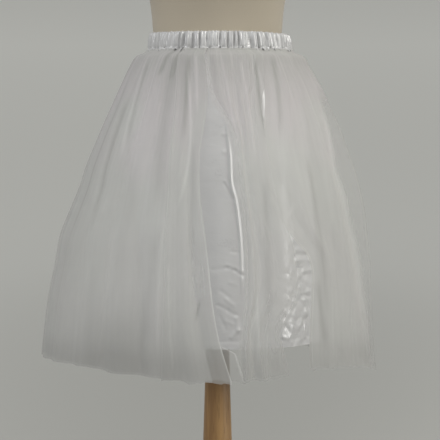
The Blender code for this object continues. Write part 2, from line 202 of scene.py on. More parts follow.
def traceLines(rows, angle, depth, perDegree):
    # how near each point is to curved lines drawn down the cloth, one share for each row
    fadeIn, fadeOut = 0.18, 0.3  # shares of a line's length
    for row in eachRow(rows):
        share = (depth - row["fromDepth"]) / (row["toDepth"] - row["fromDepth"])
        centre = (row["fromAngle"] * (1 - share) * (1 - 2 * share)
                  + row["midAngle"] * 4 * share * (1 - share)
                  + row["toAngle"] * share * (2 * share - 1))
        apart = (np.degrees(angle) - centre) * perDegree
        ends = smoothStep(share / fadeIn) * smoothStep((1 - share) / fadeOut)
        yield row, ends * peak(apart, row["width"])


def creaseRelief(rows, angle, depth, perDegree):
    # straight soft ridges, or troughs where height is below nothing
    relief = np.zeros_like(angle)
    for row in eachRow(rows):
        x = (np.degrees(angle) - row["fromAngle"]) * perDegree
        y = depth - row["fromDepth"]
        runX = (row["toAngle"] - row["fromAngle"]) * perDegree
        runY = row["toDepth"] - row["fromDepth"]
        along = np.clip((x * runX + y * runY) / (runX**2 + runY**2), 0.0, 1.0)
        apart = np.hypot(x - along * runX, y - along * runY)
        relief += satin["creaseHeight"] * row["height"] * peak(
            apart, satin["creaseWidth"] * row["width"])
    return relief


def ridgeRelief(angle, depth, perDegree):
    apart = (np.degrees(angle) - readTable(satin["ridge"], "depth", "angle", depth)) * perDegree
    gentle, steep = satin["ridgeWidth"]
    crest = np.where(apart < 0, peak(apart, gentle), np.maximum(0.0, 1.0 - apart / steep))
    return readTable(satin["ridge"], "depth", "height", depth) * crest


# shader maths: sums on a wire add Math nodes
class Wire:
    def __init__(self, graph, socket):
        self.graph = graph
        self.socket = socket

    def sum(self, operation, other):
        return self.graph.add("ShaderNodeMath", {"operation": operation}, {0: self, 1: other})

    def __add__(self, other):
        return self.sum("ADD", other)

    def __mul__(self, other):
        return self.sum("MULTIPLY", other)

    __radd__, __rmul__ = __add__, __mul__

    def smooth(self, low, high):
        return self.graph.add("ShaderNodeMapRange", {"interpolation_type": "SMOOTHSTEP"},
                              {0: self, 1: low, 2: high, 3: 0.0, 4: 1.0})


class Graph:
    # nodes round the shader that a material or a world starts with
    def __init__(self, owner, shaderName):
        owner.use_nodes = True
        self.tree = owner.node_tree
        self.shader = self.tree.nodes[shaderName]

    def put(self, socket, value):
        if isinstance(value, Wire):
            self.tree.links.new(value.socket, socket)
        else:
            socket.default_value = value

    def feed(self, socket, value):
        self.put(self.shader.inputs[socket], value)

    def add(self, kind, settings=None, sockets=None, output=0):
        node = self.tree.nodes.new(kind)
        for key, value in (settings or {}).items():
            setattr(node, key, value)
        for key, value in (sockets or {}).items():
            self.put(node.inputs[key], value)
        return Wire(self, node.outputs[output])


class Finish(Graph):
    def __init__(self, name, sockets):
        self.material = bpy.data.materials.new(name)
        super().__init__(self.material, "Principled BSDF")
        for socket, value in sockets.items():
            self.feed(socket, value)

    def place(self, coordinates, scale):
        source = self.add("ShaderNodeTexCoord", output=coordinates)
        return self.add("ShaderNodeMapping", {}, {"Vector": source, "Scale": scale})

    def noise(self, coordinates, scale, detail=3.0, roughness=0.5, distortion=0.0):
        return self.add("ShaderNodeTexNoise", {}, {
            "Vector": self.place(coordinates, scale), "Scale": 1.0, "Detail": detail,
            "Roughness": roughness, "Distortion": distortion})

    def axis(self, coordinates, letter):
        source = self.place(coordinates, (1.0, 1.0, 1.0))
        return self.add("ShaderNodeSeparateXYZ", {}, {0: source}, output=letter)

    def attribute(self, name):
        return self.add("ShaderNodeAttribute", {"attribute_name": name}, output="Fac")

    def blend(self, share, first, second):
        sockets = {"Factor": share}
        for socket, colour in ((6, first), (7, second)):  # the node's two colour inputs
            sockets[socket] = (*colour, 1.0) if isinstance(colour, tuple) else colour
        return self.add("ShaderNodeMix", {"data_type": "RGBA"}, sockets, output=2)

    def bump(self, height, distance, strength=1.0):
        self.feed("Normal", self.add("ShaderNodeBump", {}, {
            "Height": height, "Distance": distance, "Strength": strength}))


def tulleFinish():
    finish = Finish("tulle", {"Roughness": 0.85, "Specular IOR Level": 0.15, "Sheen Weight": 0.12})
    # the second attribute holds the net's painted shade, and painted highlight where it is below
    # nothing
    density, tone = finish.attribute("netDensity"), finish.attribute("netTone")
    threads = finish.noise("UV", (95.0, 2.5, 1.0), detail=1.0)  # long uneven streaks down the net
    clouds = finish.noise("UV", (14.0, 9.0, 1.0), detail=2.0)
    tint = finish.noise("UV", (4.0, 5.0, 1.0), detail=1.0)
    up = finish.axis("UV", "Y")
    finish.feed("Alpha", density * (0.84 + 0.16 * threads + 0.16 * clouds))
    white = finish.blend(clouds, (0.598, 0.6, 0.574), (0.643, 0.644, 0.616))
    # pinker near the band
    blush = tint.smooth(0.44, 0.6) * (0.15 + 0.55 * up.smooth(-0.36, -0.14))
    white = finish.blend(blush, white, (0.64, 0.6, 0.608))
    # painted highlight: the net is lightened where its painted shade is below nothing
    white = finish.blend(-1.0 * tone, white, (0.8, 0.8, 0.775))  # a tone below 0 is lighter
    # painted shade: the net is darkened towards grey in folds, by the hem, near the band and at
    # the left
    finish.feed("Base Color", finish.blend(tone, white, (0.4, 0.398, 0.376)))
    return finish.material


def satinFinish(name, dark, bright, roughness):
    finish = Finish(name, {"Specular IOR Level": 0.85, "Sheen Weight": 0.1,
                           "Sheen Roughness": 0.4, "Anisotropic": 0.35})
    clouds = finish.noise("UV", (18.0, 26.0, 1.0))
    weave = finish.noise("UV", (900.0, 260.0, 1.0), detail=1.0)
    wrinkles = finish.noise("UV", (30.0, 75.0, 1.0), detail=4.0, distortion=0.6)
    finish.feed("Base Color", finish.blend(clouds, dark, bright))
    finish.feed("Roughness", roughness + 0.14 * clouds + 0.06 * weave)
    finish.bump(wrinkles + 0.1 * weave, 0.0016, 0.22)
    return finish.material


def jerseyFinish():
    finish = Finish("jersey", {"Roughness": 0.88, "Specular IOR Level": 0.25,
                               "Sheen Weight": 0.25, "Sheen Roughness": 0.5})
    clouds = finish.noise("Object", (9.0, 9.0, 5.0))
    courses = finish.noise("UV", (700.0, 420.0, 1.0), detail=1.0)
    finish.feed("Base Color", finish.blend(clouds * 0.6 + courses * 0.4,
                                           (0.45, 0.394, 0.306), (0.556, 0.496, 0.388)))
    finish.bump(courses, 0.0004, 0.6)
    return finish.material


def woodFinish(name, grain):
    # grain is how often the pattern repeats along X, Y and Z
    finish = Finish(name, {"Specular IOR Level": 0.5, "Coat Weight": 0.12, "Coat Roughness": 0.3})
    rings = finish.noise("Object", grain, detail=5.0, roughness=0.6, distortion=0.8)
    pores = finish.noise("Object", tuple(8.0 * count for count in grain), detail=2.0)
    brown = finish.blend(rings.smooth(0.35, 0.68), (0.255, 0.137, 0.048), (0.425, 0.249, 0.095))
    finish.feed("Base Color", finish.blend(pores.smooth(0.55, 0.75) * 0.6, brown,
                                           (0.165, 0.087, 0.032)))
    finish.feed("Roughness", 0.42 + 0.16 * pores)
    finish.bump(pores + 0.4 * rings, 0.0004, 0.5)
    return finish.material


tulleNet = tulleFinish()
satinCloth = satinFinish("satin", (0.615, 0.615, 0.613), (0.68, 0.68, 0.674), 0.2)
ruchedSatin = satinFinish("ruchedSatin", (0.48, 0.48, 0.478), (0.585, 0.585, 0.575), 0.14)
formJersey = jerseyFinish()
poleWood = woodFinish("poleWood", (45.0, 45.0, 3.0))
baseWood = woodFinish("baseWood", (3.0, 45.0, 45.0))
print("finishes made")


def addObject(name, data):
    added = bpy.data.objects.new(name, data)
    bpy.context.scene.collection.objects.link(added)
    return added


def addShape(name, shape, material):
    mesh = bpy.data.meshes.new(name)
    shape.to_mesh(mesh)
    shape.free()
    mesh.shade_smooth()
    mesh.materials.append(material)
    return addObject(name, mesh)


def makePiece(name, shape, material, node):
    # shape is a bmesh; the piece stands for the named node
    piece = addShape(name, shape, material)
    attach(piece, "root")
    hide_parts(node)
    return piece


def gridShape(columns, rows):
    # across runs left to right seen from outside, and down from top to hem
    shape = bmesh.new()
    bmesh.ops.create_grid(shape, x_segments=columns, y_segments=rows, size=1.0)
    across = np.array([(point.co.x + 1.0) / 2.0 for point in shape.verts])
    down = np.array([(1.0 - point.co.y) / 2.0 for point in shape.verts])
    return shape, across, down


def setPlaces(shape, points):
    for point, place in zip(shape.verts, points):
        point.co = place


def layUv(shape, across, down, width, length):
    # the map is in metres along the cloth, so that a pattern keeps its scale
    layer = shape.loops.layers.uv.new("cloth")
    for face in shape.faces:
        for loop in face.loops:
            corner = loop.vert.index
            loop[layer].uv = (across[corner] * width, -down[corner] * length)


def closeSeams(shape, distance=0.00002):
    bmesh.ops.remove_doubles(shape, verts=shape.verts, dist=distance)
    bmesh.ops.recalc_face_normals(shape, faces=shape.faces)


def spunShape(profile, sides, distance=0.00002):
    # profile holds heights and radii
    shape = bmesh.new()
    points = [shape.verts.new((radius, 0.0, height)) for height, radius in profile]
    line = [shape.edges.new(pair) for pair in zip(points, points[1:])]
    bmesh.ops.spin(shape, geom=points + line, cent=(0, 0, 0), axis=(0, 0, 1),
                   angle=2 * math.pi, steps=sides, use_merge=True)
    closeSeams(shape, distance)
    return shape


# the dress form: plain beige jersey, stretched smooth
form = {"sides": 96, "rowsPerRing": 5, "jersey": (0.8, 0.9)}


def makeForm():
    rows = form["rowsPerRing"] * (len(formRings["height"]) - 1)
    shape, across, down = gridShape(form["sides"], rows)
    height, halfWidth, halfDepth, forward = readRows(formRings, 1.0 - down)
    angle = 2 * np.pi * across
    setPlaces(shape, np.column_stack([halfWidth * np.sin(angle),
                                      -halfDepth * np.cos(angle) - forward, height]))
    layUv(shape, across, down, *form["jersey"])
    closeSeams(shape)
    makePiece("dressForm", shape, formJersey, "form_torso")


makeForm()
print("dress form made")

# the stand: a turned pole that swells downwards, and a round base with a boss
stand = {
    "sides": 72,
    "sharpAngle": 50.0,
    "pole": table(
        "height radius",
        (34.3, 34), (100, 32.5), (200, 29), (305, 25.6), (405, 22.5), (520, 20), (660, 18.5),
        (769.7, 18)),
    "base": table(
        "height radius",
        (0, 187), (1.2, 189.5), (4, 190), (15, 190), (19, 189.2), (22.5, 186.5), (24.8, 182),
        (26, 177), (26.2, 120), (26.2, 64), (27.5, 59.5), (30.5, 57), (33, 54.5), (34, 51)),
}


def makeTurned(name, profile, material, node):
    rings = list(zip(profile["height"], profile["radius"]))
    closed = [(rings[0][0], 0.0), *rings, (rings[-1][0], 0.0)]
    piece = makePiece(name, spunShape(closed, stand["sides"]), material, node)
    piece.data.set_sharp_from_angle(angle=math.radians(stand["sharpAngle"]))


makeTurned("turnedPole", stand["pole"], poleWood, "stand_pole")
makeTurned("roundBase", stand["base"], baseWood, "stand_base")
print("stand made")

# the waistband: a satin strip folded over elastic, ruched all round
band = {
    "ruches": 52, "columnsPerRuche": 16, "rows": 44, "clearance": 0.0004,
    "slack": 0.009,  # how far the elastic stands off at the right side
    "low": 0.09,  # share of its height by which the top edge stays low
    "dip": 0.1,  # share by which it dips further at the right side
    "rucheHeight": 0.005,
    "rucheShape": (0.6, 0.65),  # how square its crest is, and the level that it swings about
    "unevenness": 0.4,
    "wander": (0.3, 0.06),  # shares of a ruche, round the band and up it
    "wanderRise": 0.011, "crinkleHeight": 0.0006,
    "crinkles": 2.3,  # in each ruche
    "crinkleRise": 0.009,
    "frill": (0.0024, -1.4),  # at the top edge, and how many times as much at the lower edge
    "lowerEdge": 0.008,
    "fraying": (0.0012, 0.0008, 0.0014),  # of the lower edge: broad, narrow and outwards
    "flat": (0.86, 0.076),
    "section": table(  # up the outside, over the top edge and down the inside
        "rise thickness ruche",
        (0, 6.2, 1.5), (4.5, 4.6, 0.8), (11, 4.8, 1.1), (20, 4.4, 1.2), (29, 3.2, 1),
        (33, 2.4, 0.8), (34.5, 1.2, 0.5), (32.5, 0.3, 0.05), (18, 0, 0), (1, 0, 0)),
}


def makeWaistband():
    shape, across, down = gridShape(band["ruches"] * band["columnsPerRuche"], band["rows"])
    rise, thickness, ruching = readRows(band["section"], 1.0 - down)
    angle = 2 * np.pi * across
    turn = band["ruches"] * across
    wander = (band["wander"][0] * ripple(across, 1.0, (9, 14, 23))
              + band["wander"][1] * np.sin(rise / band["wanderRise"] + 9 * angle))
    power, middle = band["rucheShape"]
    crest = np.abs(np.sin(np.pi * (turn + wander))) ** power - middle
    tall = np.clip(1.0 + band["unevenness"] * ripple(across, 2.0, (7, 11, 17)), 0.6, 1.45)
    crinkle = np.sin(2 * np.pi * (band["crinkles"] * turn
                                  + 0.1 * np.sin(rise / band["crinkleRise"] + 6 * angle)))
    ruche = ruching * (band["rucheHeight"] * tall * crest + band["crinkleHeight"] * crinkle)
    lower, upper = formHalfSizes(bandTop - bandHeight), formHalfSizes(bandTop)
    share = np.clip(rise / bandHeight, 0.0, 1.0)
    dip = band["low"] + band["dip"] * np.maximum(0.0, np.sin(angle)) ** 4
    height, lowerShare = band["frill"]
    frill = height * (crest + 0.4 * crinkle) * ruching * np.where(
        rise > 0.5 * bandHeight, 1.0, lowerShare)
    low = 1.0 - smoothStep(rise / band["lowerEdge"])
    broad, narrow, outwards = band["fraying"]
    frill += low * (broad * ripple(across, 5.0, (21, 33, 47))
                    + narrow * ripple(across, 8.0, (58, 83, 97)))
    thickness = thickness + low * outwards * ripple(across, 3.0, (26, 41, 67))
    setPlaces(shape, ovalPoints(
        angle, mix(lower[0], upper[0], share), mix(lower[1], upper[1], share),
        band["clearance"] + looseness(angle) + thickness + np.maximum(ruche, -0.8 * thickness),
        bandTop - bandHeight + rise * (1.0 - dip) + frill))
    layUv(shape, across, down, *band["flat"])
    bmesh.ops.remove_doubles(shape, verts=shape.verts, dist=0.00001)
    piece = makePiece("ruchedWaistband", shape, ruchedSatin, "waistband")


makeWaistband()
print("waistband made")

# the underskirt: two satin panels that hang nearly straight, with soft folds and creases
satin = {  # a pair named From or Until holds a depth, and the reach of what grows or fades there
    "length": 0.548, "width": 0.5, "wall": 0.0014, "seamGap": 0.0003, "seamAngle": 0.06,
    "standOff": 0.0013, "ease": 0.003, "easeReach": 0.03, "rounding": 0.004,
    "roundingFrom": (0.06, 0.04), "looseReach": 0.08, "folds": 5, "foldPhase": 0.265,
    "foldDrift": 0.12, "foldDepth": 0.005, "foldsFrom": (0.12, 0.38), "gathers": 44,
    "gatherHeight": 0.00042, "gathersUntil": (0.05, 0.08), "lumpHeight": 0.001, "hemTurn": 0.013,
    "hemStep": 0.0003,  # both the turned cloth's thickness and the depth of its stitch line
    "stitchWidth": 0.0022, "frontGrid": (420, 230), "backGrid": (150, 120),
    "crumple": 0.0008,  # height of the facets that show in the second gap
    "crumpleFrom": (0.36, 0.05),
    "crumpleAngles": (56, 15),  # their middle and how far they reach round from it
    "creaseHeight": 0.5, "creaseWidth": 1.3, "creasesFrom": (0.09, 0.05),
    "ridge": table(  # a fold's crisp edge beside the first gap
        "depth angle height",
        (155, 5.6, 0), (182, 6.2, 1.6), (213, 7.3, 2.6), (262, 8, 2.8), (297, 10.7, 2.5),
        (360, 12.9, 2), (426, 13.4, 1.4), (455, 13.4, 0)),
    "ridgeWidth": (0.002, 0.0048),  # on its left side and on its right side
    "frontCreases": creases(
        (4.6, 260, 10, 286, 2.2, 1.2), (4.4, 265, 9.6, 291, 2, -1.6), (4, 179, 5.4, 179, 2.6, 1),
        (3.9, 210, 5.3, 210, 2.6, 1), (8.1, 380, 11.5, 382, 2, -1.4),
        (-3.8, 411, 5.2, 408, 2.4, -0.8), (5.2, 407, 9.7, 412, 2.2, -1.4),
        (9.7, 412, 14.1, 421, 2.2, -2), (5, 403, 13, 413, 3, 1), (6.8, 433, 11.2, 438, 2.4, 0.8),
        (4.6, 462, 8.9, 472, 2.4, 1.2), (1.9, 448, 6.2, 457, 2.4, -1),
        (0.3, 472, 5.7, 480, 2.4, -1.2), (5.7, 482, 10, 489, 2.4, -1.4),
        (4.6, 499, 8.3, 504, 2.6, 1), (1.3, 492, 4.5, 513, 2.4, -0.8),
        (10.4, 494, 11, 515, 2.8, 2.2), (11, 515, 7.6, 527, 2.8, 2),
        (31.2, 114, 30.1, 149, 4, 2.4),  # in the narrow slit near the band
        (41.1, 232, 41.8, 260, 2.6, 1.8), (45.8, 270, 45.9, 288, 2.6, 1.6),
        (52.8, 303, 48.2, 318, 2.6, 2), (50.1, 332, 49.9, 363, 3, 1.6),
        (52.6, 380, 63.8, 384, 3, 2.2),  # wrinkles of the second gap
        (52.3, 390, 64.9, 391, 2, -2.2), (51.1, 399, 67.7, 400, 3.4, 2.4),
        (67.6, 400, 70.2, 412, 3, 2), (51.6, 412, 57.5, 415, 2, -1.8),
        (57.5, 420, 71.8, 418, 2.4, 2.4), (52.6, 427, 55, 455, 3, 2), (60, 430, 62, 448, 3, -1.2),
        (57.1, 457, 65.1, 454, 2.4, 2.2), (55.4, 463, 64.9, 464, 2, -2.2),
        (58.5, 468, 60.7, 492, 3.4, 2.2), (62.5, 474, 63.5, 500, 2.4, -1.4),
        (56, 503, 61.1, 502, 2, -2), (52.4, 516, 55, 504, 2.6, 2),
        (58.5, 512, 58.4, 534, 2.4, 2.2), (53.9, 535, 61.4, 537, 2.4, 1.2),
        (37.2, 528, 38.2, 502, 3, 2.2), (37.9, 531, 41.8, 534, 2.8, 2),
        (42.6, 531, 45.9, 514, 3, 2.2), (40, 512, 43, 522, 3, -1.4), (38.1, 421, 43, 420, 2, -1.2),
        (43.8, 465, 48.7, 472, 2.6, 1.2), (40.6, 480, 45.1, 486, 2.6, -1),
        (48.4, 485, 52.8, 495, 2.6, 1.4), (45, 497, 49.9, 505, 2.6, -1.2),
        (-58.5, 381, -46.5, 383, 3, 1.6),  # at the left edge, under the net
        (-59.7, 402, -49.5, 406, 2.6, -1.4), (-63.2, 434, -50.6, 437, 3, 1.8),
        (-65.9, 463, -52.3, 460, 2.6, -1.4), (-66.8, 488, -54.1, 492, 3, 1.8),
        (-70.2, 515, -54.6, 514, 2.8, 1.4), (-40, 330, -30, 338, 3, -1),
        (-35, 430, -24, 424, 3, 1)),
    "backCreases": creases(
        (120, 300, 133, 308, 3.6, 1.4), (125, 420, 141, 426, 3.4, -1.4),
        (150, 250, 160, 262, 3.2, -1), (156, 380, 170, 376, 3.6, 1.4),
        (168, 470, 182, 478, 3.6, -1.4), (178, 300, 190, 310, 3.4, 1.2),
        (196, 420, 210, 414, 3.6, 1.4), (205, 500, 219, 506, 3.8, -1.4),
        (222, 330, 236, 340, 3.4, 1.4), (238, 450, 250, 456, 3.4, -1.2)),
}


def crumpleRelief(angle, depth, across, down):
    # facets between two families of slanting lines that waver
    middle, reach = satin["crumpleAngles"]
    share = below(depth, *satin["crumpleFrom"]) * peak(np.degrees(angle) - middle, reach)
    return satin["crumple"] * share * (
        np.abs(np.sin(23 * across + 64 * down + 3 * np.sin(17 * across)))
        + np.abs(np.sin(37 * across - 43 * down + 3 * np.sin(19 * down))) - 1.2)


def satinHalfSizes(depth, angle, top):
    # over the form the cloth never comes nearer to it than it stands off
    standOff = satin["standOff"] + satin["ease"] * below(depth, top, satin["easeReach"])
    rounding = satin["rounding"] * below(depth, *satin["roundingFrom"])
    overForm = depth <= bandTop - formRings["height"][1]
    return [np.where(overForm, softMaximum(reach, form + standOff, rounding), reach)
            for reach, form in zip(reachHalfSizes(satinReach, depth, angle),
                                   formHalfSizes(bandTop - depth))]


def makeSatinPanel(side, first):
    top = bandHeight + satin["seamGap"] + satin["wall"] / 2
    shape, across, down = gridShape(*satin[side + "Grid"])
    depth = mix(top, satin["length"], down**1.1)
    angle = np.radians(mix(first + satin["seamAngle"], first + 180 - satin["seamAngle"], across))
    halfWidth, halfDepth = satinHalfSizes(depth, angle, top)
    perDegree = metresPerDegree(angle, halfWidth, halfDepth)

    grown = below(depth, *satin["foldsFrom"])
    solidDown = ((depth - top) / (satin["length"] - top)) ** (1 / 1.3)
    turn = satin["folds"] * across + satin["foldPhase"] + satin["foldDrift"] * solidDown
    fold = satin["foldDepth"] * grown * (1.0 + np.cos(2 * np.pi * turn)) / 2
    loose = looseness(angle) * (1.0 - below(depth, top, satin["looseReach"]))
    relief = (creaseRelief(satin[side + "Creases"], angle, depth, perDegree)
              * below(depth, *satin["creasesFrom"]))
    if side == "front":
        relief += ridgeRelief(angle, depth, perDegree) + crumpleRelief(angle, depth, across, down)
    gathers = satin["gatherHeight"] * (1.0 - below(depth, *satin["gathersUntil"])) * np.sin(
        2 * np.pi * satin["gathers"] * (across + 0.01 * ripple(across, 4.0)))
    lumps = satin["lumpHeight"] * grown * (
        ripple(across * 3 + 0.4 * down, 5.0) * ripple(down * 2, 6.0))
    hemLineDepth = satin["length"] - satin["hemTurn"]
    hem = satin["hemStep"] * (below(depth, hemLineDepth, 0.002)
                              - peak(depth - hemLineDepth, satin["stitchWidth"]))
    setPlaces(shape, ovalPoints(angle, halfWidth, halfDepth,
                                fold + loose + relief + gathers + lumps + hem, bandTop - depth))
    layUv(shape, across, down, satin["width"], satin["length"])
    piece = makePiece("satinUnderskirt" + side.title(), shape, satinCloth,
                      "underskirt_" + side)
    satin["length"] - bandHeight + satin["hemTurn"]


makeSatinPanel("front", -90)
makeSatinPanel("back", 90)
print("underskirt made")

# the tulle: six panels, each of two plies of sheer net gathered into the band
tulle = {  # pairs named From are as in the satin; those named Until count shares of the length
    "seamGap": 0.0003, "wall": 0.0016, "tuck": 0.003, "length": 0.583, "hemRipple": 0.0025,
    "hemFray": 0.0003, "standOff": 0.0052,
    "spring": 0.02,  # share of the length in which the net springs out from the band
    "gatherTop": 0.001, "gather": 0.0021, "gatherDrift": 0.011, "gathersUntil": (0.1, 0.5),
    "waveTop": 0.0008, "waveHem": 0.01, "waveUnevenness": 0.25,
    "flatness": (0.66, 0.18),  # how soon the folds flatten towards the sides, and what stays
    "edgeCalm": 0.1,  # share of the waves that is left beside a free edge
    "calmRamp": 6.0,
    "edgeReach": 22.0,  # degrees of net that bend with a curved edge
    "layerTop": 0.003,  # how far a panel lies out from the one under it
    "layerHem": 0.008,
    "columnsPerGather": (18, 26),  # at the back and at the front
    "rows": 112,
    "fineHeight": 0.0009,  # of the fine gathers that the solids leave out
    "fineDense": 0.03,
    "foldHeight": 0.6,  # what the heights, densities and tones of the drawn folds are scaled by
    # the last value here scales the drawn folds' painted shade and painted highlights
    "foldDense": 0.55, "foldTone": 0.78,
    "evenness": 0.65,  # how far light scattered in the net hides its folds
    "tilt": (0.2, 0.06),  # how much the bell's own face turns up, at the band and by the hem
    "sheerness": 0.3,  # share of light that one flat ply stops
    "leastSlant": 0.6, "densest": 0.93,
    "cutShare": 0.8,  # each ply is cut wider at the hem than at the band
    "edgeWidth": 0.0016, "edgeDense": 0.14, "edgeFrom": (0.3, 0.15), "lowFrom": (0.42, 0.13),
    "hemShade": 0.8,  # how much darker the net looks by its hem, most of all at the left
    "hemShadeAngles": (-36, 18),
    "belowShade": 0.35,  # and where no satin lies behind it
    "belowFrom": (0.515, 0.05), "topShade": 0.45, "topUntil": 0.3,
    "leftShade": 0.3,  # and where it turns away from the window
    "leftAngles": (-40, 30), "leftFrom": (0.06, 0.16),
    "gatherShade": 0.18,  # and between its gathers, under the band
    "gatherShadeUntil": 0.14, "veilFrom": (0.09, 0.05),
    "veilThin": 0.7,  # share of its density that the net at the right side loses
    "veilLine": 0.22,  # where it starts to
    "veilLineFrom": (0.12, 0.08),
    "backThin": 0.7,  # share of its density that the net loses by the hem at the back
}
foldLeftEdge = edge(
    (34, -28), (116, -23.4), (229, -20.9), (297, -19.4), (393, -18), (582, -17.3))
foldRightEdge = edge(
    (34, -9), (70, -6.8), (105, -5.4), (140, -5.6), (205, -7.4), (250, -7.3), (291, -6.3),
    (358, -3.8), (458, -1.4), (509, 0.3), (543, 2.2), (585, 4.9))
leftInnerEdge = edge(
    (34, -20), (120, -15), (250, -13), (400, -9), (530, -4.3), (585, -1.6))
centreLeftEdge = edge(
    (34, -12), (70, -9.6), (100, -7.2), (118, -4.6), (135, -1), (160, 3.6), (182, 6.2), (262, 7.2),
    (293, 8.6), (353, 9.7), (463, 9.3), (530, 7), (585, 6.6))
centreRightEdge = edge(
    (34, 32), (61, 29.2), (95, 26.6), (116, 23.6), (152, 21.9), (256, 22.7), (310, 25),
    (360, 28.6), (400, 30), (436, 30), (462, 27.8), (485, 24.4), (504, 23), (527, 23.6),
    (585, 26.2))
rightInnerEdge = edge(
    (34, 29), (61, 28.5), (113, 26.1), (152, 23.4), (189, 20.5), (255, 20.5), (310, 23.5),
    (350, 30), (380, 36.4), (410, 38.4), (455, 38), (520, 36.8), (590, 37))
veilEdge = edge(
    (34, 75), (54, 69.2), (118, 65.8), (155, 63.7), (208, 60.5), (240, 58.5), (281, 60.5),
    (325, 61.3), (362, 64), (419, 66.2), (466, 68.3), (501, 70.7), (590, 76))
